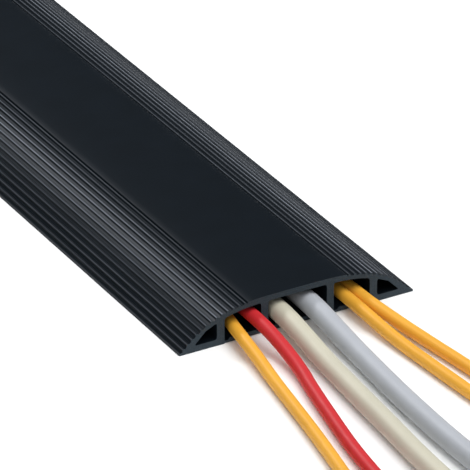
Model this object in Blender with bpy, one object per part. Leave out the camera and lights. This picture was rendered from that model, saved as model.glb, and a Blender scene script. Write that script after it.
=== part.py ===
# Floor cable protector: one long flexible extrusion with ribbed flanks, a smooth tread band, three
# cable channels that open through slits in the base, two hollow edges, and the six leads it covers.
# X runs across the strip, Y along it, Z up. The strip lies on Z = 0, centred on the origin.
import math

import bmesh
import bpy
import numpy as np
from mathutils import Matrix, Vector

# ---- driving dimensions, metres ----
WIDTH = 0.130
HEIGHT = 0.020
LENGTH = 1.000
LEAD_LENGTH = 1.500
GAP = 0.0003  # between pieces that touch
MERGE = 0.00001
SHARP_ANGLE = math.radians(40)

# ---- the strip's section ----
HALF = WIDTH / 2
EDGE_HEIGHT = 0.0010  # the blunt long edges
ARCH_POWER = 3.8  # a higher power gives a flatter crown and steeper shoulders
BAND_HALF = 0.42 * HALF  # the smooth tread band
RIBS = 13  # on each flank
RIB_DEPTH = 0.0009
RIB_SHAPE = ((-0.28, 0.0), (-0.19, 0.55), (-0.08, 0.95), (0.08, 0.95), (0.19, 0.55), (0.28, 0.0))
RIB_MARGIN = 0.0011  # smooth strip outside the last rib
FLANK_SAMPLES = 600  # for measuring along the arch
BAND_STEPS = 14
SKIN = 0.0030
FLOOR = 0.0028
CHANNELS = ((-0.310, -0.155), (-0.125, 0.125), (0.155, 0.310))  # shares of the width, from the middle
HOLLOW = (0.342, 0.438)  # the empty triangle in each edge, shares of the width
HOLLOW_FLOOR = 0.0034
CEILING_STEPS = 5
CORNER_RADIUS = 0.0015
CORNER_STEPS = 3

# ---- the slit's lips ----
LIP_THICKNESS = 0.0024
LIP_ROOT_THICKNESS = 0.0012
LIP_ROOT_WIDTH = 0.0016
LIP_SHOULDER = 0.0026  # from the wall, where the lip has its full thickness
SLIT = 0.0010
LIP_BOTTOM = FLOOR - LIP_THICKNESS

# ---- connectors ----
BOOT_LENGTH = 0.0140
BOOT_HEIGHT = 0.0078
BOOT_WIDTHS = (0.0084, 0.0112)  # at the cable, at the plug
BOOT_BEVEL = 0.0009
PLUG_LENGTH = 0.0195
PLUG_WIDTH = 0.0117
PLUG_HEIGHT = 0.0066
LATCH_WIDTH = 0.0060
LATCH_HEIGHT = 0.0014

MAINS_WIDTH = 0.0280
MAINS_HEIGHT = 0.0196
MAINS_BODY = 0.0330
MAINS_NECK = 0.0200
MAINS_NECK_WIDTH = 0.0150
MAINS_BEVEL = 0.0015

HOOD_WIDTH = 0.0330
HOOD_HEIGHT = 0.0156
HOOD_BAR = 0.0090
HOOD_BODY = 0.0250
HOOD_BODY_WIDTH = 0.0176
HOOD_NECK = 0.0140
HOOD_NECK_WIDTH = 0.0140
SHELL_WIDTH = 0.0170
SHELL_HEIGHT = 0.0083
SHELL_SLOPE = 0.0012
SHELL_REACH = 0.0060
SCREW_SPACING = 0.0250
SCREW_RADIUS = 0.0015
SCREW_HOLE_RADIUS = 0.0019
SCREW_HEAD_RADIUS = 0.0031
SCREW_HEAD_LENGTH = 0.0110
SCREW_TIP = 0.0052
SCREW_SIDES = 16

# ---- the leads: diameter, colour, connector, rear and front ends of the route ----
# Route points are X, Y from the rear end of the lead to its front end. Most of the run under the strip is
# straight. A lead with a lift leaves the near mouth that much above the others.
CHANNEL_POINTS = (0.510, 0.500, 0.470, 0.235, 0.0, -0.235, -0.440, -0.470)
MOUTH = LENGTH / 2
DROP_LENGTH = 0.060  # past the mouth, over which a lead comes down to the floor
LIFT_RUN = 0.100  # inside the near mouth, over which a lead that leaves it higher comes up
RISE_LENGTH = 0.050  # over which it rises to its connector, before a last level step
FLOOR_CLEARANCE = 0.0001
POINT_SPACING = 2.6  # diameters between the points of a lead's line
CURVE_SAMPLES = 24  # between two route points, for measuring along the route
THICK_LEAD = 0.009  # leads from this diameter up have more sides
LEADS = {
    "yellow_lead_left": {
        "diameter": 0.0065, "colour": "yellow", "ends": "patch", "x": -0.0318,
        "rear": ((-0.0590, 0.6230), (-0.0560, 0.6020), (-0.0490, 0.5720), (-0.0400, 0.5420)),
        "front": ((-0.0323, -0.4880), (-0.0343, -0.5000), (-0.0357, -0.5110), (-0.0374, -0.5250),
                  (-0.0395, -0.5400), (-0.0423, -0.5600), (-0.0446, -0.5750), (-0.0469, -0.5900),
                  (-0.0494, -0.6050), (-0.0530, -0.6250), (-0.0580, -0.6510), (-0.0640, -0.6860),
                  (-0.0690, -0.7230), (-0.0720, -0.7620), (-0.0725, -0.8000), (-0.0708, -0.8360),
                  (-0.0690, -0.8800)),
    },
    "red_lead": {
        "diameter": 0.0070, "colour": "red", "ends": "patch", "x": -0.0240, "lift": 0.0036,
        "rear": ((-0.0400, 0.6120), (-0.0385, 0.5900), (-0.0345, 0.5620), (-0.0282, 0.5370)),
        "front": ((-0.0240, -0.4900), (-0.0240, -0.5050), (-0.0239, -0.5200), (-0.0241, -0.5300),
                  (-0.0247, -0.5400), (-0.0260, -0.5500), (-0.0282, -0.5600), (-0.0314, -0.5750),
                  (-0.0344, -0.5900), (-0.0374, -0.6050), (-0.0402, -0.6210), (-0.0436, -0.6480),
                  (-0.0465, -0.6830), (-0.0478, -0.7220), (-0.0470, -0.7620), (-0.0450, -0.8020),
                  (-0.0434, -0.8460), (-0.0428, -0.8950)),
    },
    "ivory_lead": {
        "diameter": 0.0105, "colour": "ivory", "ends": "mains", "x": -0.0089,
        "rear": ((-0.0150, 0.6260), (-0.0147, 0.6020), (-0.0135, 0.5720), (-0.0113, 0.5420)),
        "front": ((-0.0089, -0.4900), (-0.0092, -0.5040), (-0.0098, -0.5150), (-0.0105, -0.5250),
                  (-0.0113, -0.5360), (-0.0121, -0.5480), (-0.0129, -0.5600), (-0.0140, -0.5750),
                  (-0.0151, -0.5900), (-0.0161, -0.6050), (-0.0172, -0.6200), (-0.0186, -0.6380),
                  (-0.0199, -0.6680), (-0.0203, -0.7060), (-0.0190, -0.7460), (-0.0168, -0.7860),
                  (-0.0152, -0.8280), (-0.0146, -0.8850)),
    },
    "grey_lead": {
        "diameter": 0.0108, "colour": "grey", "ends": "monitor", "x": 0.0077,
        "rear": ((0.0195, 0.6180), (0.0190, 0.5960), (0.0160, 0.5680), (0.0105, 0.5400)),
        "front": ((0.0077, -0.4900), (0.0074, -0.5030), (0.0068, -0.5150), (0.0062, -0.5270),
                  (0.0056, -0.5400), (0.0051, -0.5510), (0.0044, -0.5620), (0.0034, -0.5750),
                  (0.0025, -0.5900), (0.0018, -0.6050), (0.0013, -0.6200), (0.0010, -0.6380),
                  (0.0013, -0.6560), (0.0030, -0.6840), (0.0075, -0.7180), (0.0135, -0.7540),
                  (0.0190, -0.7900), (0.0226, -0.8340), (0.0240, -0.8900)),
    },
    "yellow_lead_middle": {
        "diameter": 0.0065, "colour": "yellow", "ends": "patch", "x": 0.0278,
        "rear": ((0.0460, 0.6260), (0.0452, 0.6040), (0.0420, 0.5740), (0.0352, 0.5430)),
        "front": ((0.0278, -0.4900), (0.0279, -0.5020), (0.0281, -0.5130), (0.0285, -0.5260),
                  (0.0293, -0.5400), (0.0301, -0.5500), (0.0310, -0.5610), (0.0320, -0.5750),
                  (0.0331, -0.5900), (0.0344, -0.6060), (0.0362, -0.6260), (0.0400, -0.6580),
                  (0.0440, -0.6940), (0.0472, -0.7340), (0.0490, -0.7740), (0.0500, -0.8160),
                  (0.0505, -0.8800)),
    },
    "yellow_lead_right": {
        "diameter": 0.0065, "colour": "yellow", "ends": "patch", "x": 0.0347,
        "rear": ((0.0625, 0.6150), (0.0605, 0.5940), (0.0540, 0.5670), (0.0432, 0.5400)),
        "front": ((0.0347, -0.4880), (0.0348, -0.5000), (0.0355, -0.5110), (0.0369, -0.5210),
                  (0.0386, -0.5310), (0.0404, -0.5410), (0.0421, -0.5510), (0.0436, -0.5620),
                  (0.0452, -0.5750), (0.0469, -0.5900), (0.0494, -0.6090), (0.0540, -0.6360),
                  (0.0602, -0.6700), (0.0660, -0.7060), (0.0706, -0.7440), (0.0736, -0.7840),
                  (0.0750, -0.8260), (0.0755, -0.8900)),
    },
}

# ---- finishes: colour, roughness, metallic ----
FINISHES = {
    "black_pvc": ((0.012, 0.014, 0.017, 1), 0.62, 0),
    "yellow": ((0.90, 0.46, 0.04, 1), 0.40, 0),
    "red": ((0.62, 0.03, 0.035, 1), 0.40, 0),
    "ivory": ((0.62, 0.57, 0.45, 1), 0.45, 0),
    "grey": ((0.45, 0.47, 0.52, 1), 0.42, 0),
    "clear_plug": ((0.80, 0.82, 0.84, 1), 0.15, 0),
    "nickel": ((0.72, 0.71, 0.68, 1), 0.25, 1),
}


def clear_scene():
    for item in list(bpy.data.objects):
        bpy.data.objects.remove(item, do_unlink=True)


def material(name):
    found = bpy.data.materials.get(name)
    if found:
        return found
    colour, roughness, metallic = FINISHES[name]
    made = bpy.data.materials.new(name)
    made.use_nodes = True
    shader = made.node_tree.nodes["Principled BSDF"]
    shader.inputs["Base Color"].default_value = colour
    shader.inputs["Roughness"].default_value = roughness
    shader.inputs["Metallic"].default_value = metallic
    return made


def place(name, data, finish, location=(0, 0, 0), turn=0.0, parent=None):
    piece = bpy.data.objects.new(name, data)
    bpy.context.scene.collection.objects.link(piece)
    piece.location = location
    piece.rotation_euler.z = turn
    piece.parent = parent
    data.materials.append(material(finish))
    return piece


def extruded(loops, length, frame):
    """A closed prism: the first loop is the outline and the others are holes. frame turns it into place."""
    bm = bmesh.new()
    for loop in loops:
        corners = [bm.verts.new((x, y, 0)) for x, y in loop]
        for k, corner in enumerate(corners):
            bm.edges.new((corner, corners[(k + 1) % len(corners)]))
    bmesh.ops.triangle_fill(bm, use_beauty=True, use_dissolve=False, edges=bm.edges[:])
    pushed = bmesh.ops.extrude_face_region(bm, geom=bm.faces[:])
    moved = [item for item in pushed["geom"] if isinstance(item, bmesh.types.BMVert)]
    bmesh.ops.translate(bm, vec=(0, 0, length), verts=moved)
    bmesh.ops.transform(bm, matrix=frame, verts=bm.verts[:])
    bmesh.ops.recalc_face_normals(bm, faces=bm.faces[:])
    return bm


def mesh_from(bm, name):
    data = bpy.data.meshes.new(name)
    bm.to_mesh(data)
    bm.free()
    return data


# Section planes: local x, y and depth z become world axes.
SECTION_TO_STRIP = Matrix(((1, 0, 0, 0), (0, 0, -1, LENGTH / 2), (0, 1, 0, 0), (0, 0, 0, 1)))


def rounded(points, radius, corners):
    """The loop with the corners of those numbers rounded."""
    out = []
    count = len(points)
    for k, point in enumerate(points):
        if k not in corners:
            out.append(point)
            continue
        here = Vector(point)
        before = (Vector(points[k - 1]) - here).normalized()
        after = (Vector(points[(k + 1) % count]) - here).normalized()
        start, end = here + before * radius, here + after * radius
        for step in range(CORNER_STEPS + 1):
            t = step / CORNER_STEPS
            spot = start * (1 - t) ** 2 + here * 2 * t * (1 - t) + end * t ** 2
            out.append((spot.x, spot.y))
    return out


# ---- the strip ----
def arch(x):
    """Height of the strip's outer surface at x."""
    return EDGE_HEIGHT + (HEIGHT - EDGE_HEIGHT) * (1 - (abs(x) / HALF) ** ARCH_POWER)


def flank_points():
    """The right flank from the tread band to the edge: ribs stand on a surface sunk below the arch."""
    xs = np.linspace(BAND_HALF, HALF, FLANK_SAMPLES)
    zs = np.array([arch(x) for x in xs])
    run = np.concatenate([[0], np.cumsum(np.hypot(np.diff(xs), np.diff(zs)))])
    pitch = (run[-1] - RIB_MARGIN) / RIBS

    def spot(distance, sunk):
        x = float(np.interp(distance, run, xs))
        z = float(np.interp(distance, run, zs))
        slope = -(HEIGHT - EDGE_HEIGHT) * ARCH_POWER / HALF * (x / HALF) ** (ARCH_POWER - 1)
        length = math.hypot(slope, 1)
        return x + slope / length * sunk, z - sunk / length

    points = []
    for rib in range(RIBS):
        middle = (rib + 0.5) * pitch
        points += [spot(middle + share * pitch, RIB_DEPTH * (1 - rise)) for share, rise in RIB_SHAPE]
    return points


def ceiling(x):
    return arch(x) - SKIN


def channel_notch(left, right):
    """The channel's walls and ceiling, from the foot of its right wall to the foot of its left one."""
    xs = np.linspace(right, left, CEILING_STEPS)
    walls = [(right, 0)] + [(float(x), ceiling(x)) for x in xs] + [(left, 0)]
    return rounded(walls, CORNER_RADIUS, (1, CEILING_STEPS))


def hollow_loop(side):
    """The empty triangle inside one edge."""
    inner, outer = HOLLOW[0] * WIDTH, HOLLOW[1] * WIDTH
    middle = (inner + outer) / 2
    points = [
        (inner, HOLLOW_FLOOR),
        (outer, HOLLOW_FLOOR),
        (middle, ceiling(middle)),
        (inner, ceiling(inner)),
    ]
    return [(side * x, z) for x, z in rounded(points, CORNER_RADIUS, (0, 1, 3))]


def make_strip():
    band = [(x, arch(x)) for x in np.linspace(-BAND_HALF, BAND_HALF, BAND_STEPS + 1)]
    flank = flank_points()
    edge = [(HALF, EDGE_HEIGHT), (HALF, 0)]
    left = [(-x, z) for x, z in reversed(flank)]
    outline = [(-HALF, 0), (-HALF, EDGE_HEIGHT)] + left + band + flank + edge
    for share_left, share_right in reversed(CHANNELS):
        outline += channel_notch(share_left * WIDTH, share_right * WIDTH)
    loops = [outline, hollow_loop(-1), hollow_loop(1)]
    data = mesh_from(extruded(loops, LENGTH, SECTION_TO_STRIP), "strip")
    return place("ramp_strip", data, "black_pvc")


def make_lips(strip):
    """Two lips close each channel's base. Each one swings on its thin root, at the foot of the wall."""
    for channel, (left, right) in zip(("left", "middle", "right"), CHANNELS):
        reach = (right - left) * WIDTH / 2 - GAP - SLIT / 2
        for side, foot, way in (("left", left * WIDTH + GAP, 1), ("right", right * WIDTH - GAP, -1)):
            outline = [
                (0, 0),
                (way * reach, 0),
                (way * reach, LIP_THICKNESS),
                (way * LIP_SHOULDER, LIP_THICKNESS),
                (way * LIP_ROOT_WIDTH, LIP_ROOT_THICKNESS),
                (0, LIP_ROOT_THICKNESS),
            ]
            loop = rounded(outline, LIP_THICKNESS / 4, (1, 2))
            data = mesh_from(extruded([loop], LENGTH, SECTION_TO_STRIP), "lip")
            name = f"{channel}_channel_{side}_lip"
            place(name, data, "black_pvc", (foot, 0, LIP_BOTTOM), parent=strip)


# ---- the leads ----
def smooth_line(points, length, step):
    """Points about step apart along the smooth curve through the route's points, cut at that length."""
    p = np.array(points, float)
    chord = np.linalg.norm(np.diff(p, axis=0), axis=1)
    slope = np.diff(p, axis=0) / chord[:, None]
    inner = slope[:-1] * chord[1:, None] + slope[1:] * chord[:-1, None]
    inner /= (chord[1:] + chord[:-1])[:, None]
    tangent = np.vstack([slope[:1], inner, slope[-1:]])
    dense = []
    for k, reach in enumerate(chord):
        for t in np.linspace(0, 1, CURVE_SAMPLES, endpoint=False):
            near = 2 * t**3 - 3 * t**2 + 1
            leaving = (t**3 - 2 * t**2 + t) * reach * tangent[k]
            arriving = (t**3 - t**2) * reach * tangent[k + 1]
            dense.append(near * p[k] + (1 - near) * p[k + 1] + leaving + arriving)
    dense = np.array(dense + [p[-1]])
    run = np.concatenate([[0], np.cumsum(np.linalg.norm(np.diff(dense, axis=0), axis=1))])
    marks = np.linspace(0, length, round(length / step) + 1)
    return np.stack([np.interp(marks, run, dense[:, k]) for k in range(2)], axis=1), marks


def ease(t):
    t = min(max(t, 0.0), 1.0)
    return t * t * (3 - 2 * t)


END_HEIGHTS = {
    "patch": BOOT_HEIGHT / 2 + FLOOR_CLEARANCE,
    "mains": MAINS_HEIGHT / 2 + FLOOR_CLEARANCE,
    "monitor": HOOD_HEIGHT / 2 + FLOOR_CLEARANCE,
}


def lead_line(lead):
    """The lead's centre line: on the lips in its channel, on the floor outside, up to its connectors."""
    radius = lead["diameter"] / 2
    route = lead["rear"] + tuple((lead["x"], y) for y in CHANNEL_POINTS) + lead["front"]
    step = POINT_SPACING * lead["diameter"]
    flat, marks = smooth_line(route, LEAD_LENGTH, step)
    on_floor = radius + FLOOR_CLEARANCE
    in_channel = FLOOR + GAP + radius
    end_height = END_HEIGHTS[lead["ends"]]
    line = []
    for (x, y), mark in zip(flat, marks):
        out = ease((abs(y) - MOUTH) / DROP_LENGTH)
        end = ease(1 - (min(mark, marks[-1] - mark) - step) / RISE_LENGTH)
        raised = in_channel + lead.get("lift", 0) * ease(1 - (y + MOUTH) / LIFT_RUN)
        height = raised + (on_floor - raised) * out
        line.append(Vector((x, y, height + (end_height - on_floor) * end)))
    return line


def make_lead(name, lead):
    line = lead_line(lead)
    data = bpy.data.curves.new(name, "CURVE")
    data.dimensions = "3D"
    data.bevel_depth = lead["diameter"] / 2
    data.bevel_resolution = 2 if lead["diameter"] < THICK_LEAD else 3
    data.use_fill_caps = True
    spline = data.splines.new("POLY")
    spline.points.add(len(line) - 1)
    for point, spot in zip(spline.points, line):
        point.co = (*spot, 1)
    place(name, data, lead["colour"])
    return line


def end_place(line, front):
    """Where a connector starts, past the end of the lead, and the way it faces."""
    last, before = (line[-1], line[-2]) if front else (line[0], line[1])
    way = last - before
    way.z = 0
    way.normalize()
    return last + way * GAP, math.atan2(-way.x, way.y)


# ---- connectors: built along +Y from the end of the lead, with the lead's centre line at z = 0 ----
def along_y(start):
    """Turns a section drawn in x and z into a prism that starts at y = start and runs along +Y."""
    return Matrix(((-1, 0, 0, 0), (0, 0, 1, start), (0, 1, 0, 0), (0, 0, 0, 1)))


def edge_bevel(piece, width):
    bevel = piece.modifiers.new("edges", "BEVEL")
    bevel.width = width
    bevel.segments = 2
    bevel.limit_method = "ANGLE"
    bevel.angle_limit = SHARP_ANGLE


def make_boot(name, colour, spot, turn):
    """The tapered sleeve where a patch lead enters its plug."""
    narrow, wide = (width / 2 for width in BOOT_WIDTHS)
    outline = [(-narrow, 0), (narrow, 0), (wide, BOOT_LENGTH), (-wide, BOOT_LENGTH)]
    lowered = Matrix.Translation((0, 0, -BOOT_HEIGHT / 2))
    data = mesh_from(extruded([outline], BOOT_HEIGHT, lowered), "boot")
    piece = place(name, data, colour, spot, turn)
    edge_bevel(piece, BOOT_BEVEL)


def make_plug(name, spot, turn):
    """A modular plug: a block with its latch along the top."""
    w, h = PLUG_WIDTH / 2, PLUG_HEIGHT / 2
    latch = LATCH_WIDTH / 2
    top = h + LATCH_HEIGHT
    section = [(-w, -h), (w, -h), (w, h), (latch, h), (latch, top), (-latch, top), (-latch, h), (-w, h)]
    start = BOOT_LENGTH + GAP
    data = mesh_from(extruded([section], PLUG_LENGTH, along_y(start)), "plug")
    place(name, data, "clear_plug", spot, turn)


def plan_prism(name, half_outline, height, finish, spot, turn):
    """A moulding with the same outline in plan on both sides, level with the lead's centre line."""
    left = [(-x, y) for x, y in reversed(half_outline)]
    loop = half_outline + left
    lowered = Matrix.Translation((0, 0, -height / 2))
    data = mesh_from(extruded([loop], height, lowered), name)
    return place(name, data, finish, spot, turn)


def make_mains_connector(name, spot, turn):
    """An appliance connector moulded on the lead, with a tapered neck."""
    half = [
        (MAINS_NECK_WIDTH / 2, 0),
        (MAINS_WIDTH / 2, MAINS_NECK),
        (MAINS_WIDTH / 2, MAINS_NECK + MAINS_BODY),
    ]
    piece = plan_prism(name, half, MAINS_HEIGHT, "ivory", spot, turn)
    edge_bevel(piece, MAINS_BEVEL)


def screw_cutter(name, piece, x):
    """A hidden cylinder that drills one screw hole through the hood's ears."""
    bm = bmesh.new()
    turn = Matrix.Translation((x, HOOD_NECK + HOOD_BODY, 0)) @ Matrix.Rotation(math.pi / 2, 4, "X")
    bmesh.ops.create_cone(
        bm, cap_ends=True, segments=SCREW_SIDES, radius1=SCREW_HOLE_RADIUS, radius2=SCREW_HOLE_RADIUS,
        depth=HOOD_BODY * 2, matrix=turn,
    )
    data = mesh_from(bm, name)
    cutter = bpy.data.objects.new(name, data)
    bpy.context.scene.collection.objects.link(cutter)
    cutter.parent = piece
    cutter.hide_render = True
    cutter.display_type = "WIRE"
    cut = piece.modifiers.new(name, "BOOLEAN")
    cut.operation = "DIFFERENCE"
    cut.solver = "EXACT"
    cut.object = cutter


def make_monitor_hood(name, spot, turn):
    """A moulded hood: a neck, a body, and a wider bar whose ears carry the screws."""
    rear = HOOD_NECK + HOOD_BODY
    half = [
        (HOOD_NECK_WIDTH / 2, 0),
        (HOOD_BODY_WIDTH / 2, HOOD_NECK),
        (HOOD_BODY_WIDTH / 2, rear),
        (HOOD_WIDTH / 2, rear),
        (HOOD_WIDTH / 2, rear + HOOD_BAR),
    ]
    piece = plan_prism(name, half, HOOD_HEIGHT, "grey", spot, turn)
    for side in (-1, 1):
        screw_cutter(f"{name}_drill_{'left' if side < 0 else 'right'}", piece, side * SCREW_SPACING / 2)


def make_monitor_shell(name, spot, turn):
    """The D-shaped metal shell around the pins."""
    w, h = SHELL_WIDTH / 2, SHELL_HEIGHT / 2
    corners = [(-w + SHELL_SLOPE, -h), (w - SHELL_SLOPE, -h), (w, h), (-w, h)]
    section = rounded(corners, CORNER_RADIUS, (0, 1, 2, 3))
    start = HOOD_NECK + HOOD_BODY + HOOD_BAR + GAP
    data = mesh_from(extruded([section], SHELL_REACH, along_y(start)), "shell")
    place(name, data, "nickel", spot, turn)


def make_screw(name, spot, turn, side):
    """A captive screw, turned about its own axis through one ear of the hood."""
    shaft = HOOD_BAR + GAP + SCREW_TIP
    profile = [
        (0, 0),
        (SCREW_HEAD_RADIUS, 0),
        (SCREW_HEAD_RADIUS, SCREW_HEAD_LENGTH),
        (SCREW_RADIUS, SCREW_HEAD_LENGTH),
        (SCREW_RADIUS, SCREW_HEAD_LENGTH + shaft),
        (0, SCREW_HEAD_LENGTH + shaft),
    ]
    bm = bmesh.new()
    corners = [bm.verts.new((x, y, 0)) for x, y in profile]
    line = [bm.edges.new(pair) for pair in zip(corners, corners[1:])]
    bmesh.ops.spin(
        bm, geom=corners + line, cent=(0, 0, 0), axis=(0, 1, 0), angle=math.tau, steps=SCREW_SIDES,
        use_duplicate=False,
    )
    bmesh.ops.remove_doubles(bm, verts=bm.verts[:], dist=MERGE)
    bmesh.ops.recalc_face_normals(bm, faces=bm.faces[:])
    data = mesh_from(bm, "screw")
    data.shade_smooth()
    data.set_sharp_from_angle(angle=SHARP_ANGLE)
    start = HOOD_NECK + HOOD_BODY - GAP - SCREW_HEAD_LENGTH
    offset = Matrix.Rotation(turn, 3, "Z") @ Vector((side * SCREW_SPACING / 2, start, 0))
    place(name, data, "nickel", spot + offset, turn)


def make_connectors(name, lead, line):
    for end, front in (("rear", False), ("front", True)):
        spot, turn = end_place(line, front)
        if lead["ends"] == "patch":
            make_boot(f"{name}_{end}_boot", lead["colour"], spot, turn)
            make_plug(f"{name}_{end}_plug", spot, turn)
        elif lead["ends"] == "mains":
            make_mains_connector(f"{name}_{end}_connector", spot, turn)
        else:
            make_monitor_hood(f"{name}_{end}_hood", spot, turn)
            make_monitor_shell(f"{name}_{end}_shell", spot, turn)
            make_screw(f"{name}_{end}_left_screw", spot, turn, -1)
            make_screw(f"{name}_{end}_right_screw", spot, turn, 1)


def build():
    clear_scene()
    strip = make_strip()
    make_lips(strip)
    for name, lead in LEADS.items():
        line = make_lead(name, lead)
        make_connectors(name, lead, line)


build()
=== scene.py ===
# Looks of the floor cable protector: the extruded strip, its lips, six leads and their connectors.
# Metres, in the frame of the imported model: X across the strip, Y along it, Z up, the floor at Z = 0.
import math

import bmesh
import bpy
from mathutils import Matrix, Vector
from mathutils.geometry import interpolate_bezier


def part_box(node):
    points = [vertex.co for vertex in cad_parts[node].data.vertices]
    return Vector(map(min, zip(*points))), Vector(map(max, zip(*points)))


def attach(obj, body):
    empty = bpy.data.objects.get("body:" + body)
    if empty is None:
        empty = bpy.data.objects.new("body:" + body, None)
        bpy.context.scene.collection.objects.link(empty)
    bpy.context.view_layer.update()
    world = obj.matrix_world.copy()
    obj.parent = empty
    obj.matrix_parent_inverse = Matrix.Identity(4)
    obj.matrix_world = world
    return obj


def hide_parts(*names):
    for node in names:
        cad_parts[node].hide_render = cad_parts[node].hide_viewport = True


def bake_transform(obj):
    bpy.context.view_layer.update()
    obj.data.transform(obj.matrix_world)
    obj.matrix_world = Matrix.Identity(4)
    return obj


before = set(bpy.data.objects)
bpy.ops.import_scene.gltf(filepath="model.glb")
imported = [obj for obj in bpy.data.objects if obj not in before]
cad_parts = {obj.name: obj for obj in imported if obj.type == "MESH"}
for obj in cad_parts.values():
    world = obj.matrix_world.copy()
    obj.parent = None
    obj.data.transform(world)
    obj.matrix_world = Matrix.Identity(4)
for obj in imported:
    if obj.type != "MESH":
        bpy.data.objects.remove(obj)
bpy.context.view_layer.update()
print("frame loaded:", len(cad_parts), "nodes")

mm = 0.001
touching = 0.3 * mm  # the gap between pieces that touch
mergeReach = 0.01 * mm
flatTurn = 0.3  # degrees, the most that faces turn where a copied CAD mesh is one flat side
smoothTurn = 30  # degrees, the most that faces turn where they are shaded as one round surface

# The camera stands far off with a long lens, so that parallel edges stay parallel.
view = {
    "lens": 372,  # mm
    "distance": 2.414,
    "target": (0.0181, -0.4072, 0),
    "turn": 29.59,  # degrees from straight ahead, towards the left
    "elevation": 28.29,  # degrees
}


def makeCamera():
    turn = math.radians(view["turn"])
    rise = math.radians(view["elevation"])
    back = Vector((-math.sin(turn) * math.cos(rise), -math.cos(turn) * math.cos(rise), math.sin(rise)))
    bpy.ops.object.camera_add(location=Vector(view["target"]) + back * view["distance"])
    eye = bpy.context.object
    eye.name = "camera"
    eye.rotation_euler = back.to_track_quat("Z", "Y").to_euler()
    eye.data.lens = view["lens"]
    bpy.context.scene.camera = eye


makeCamera()

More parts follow.
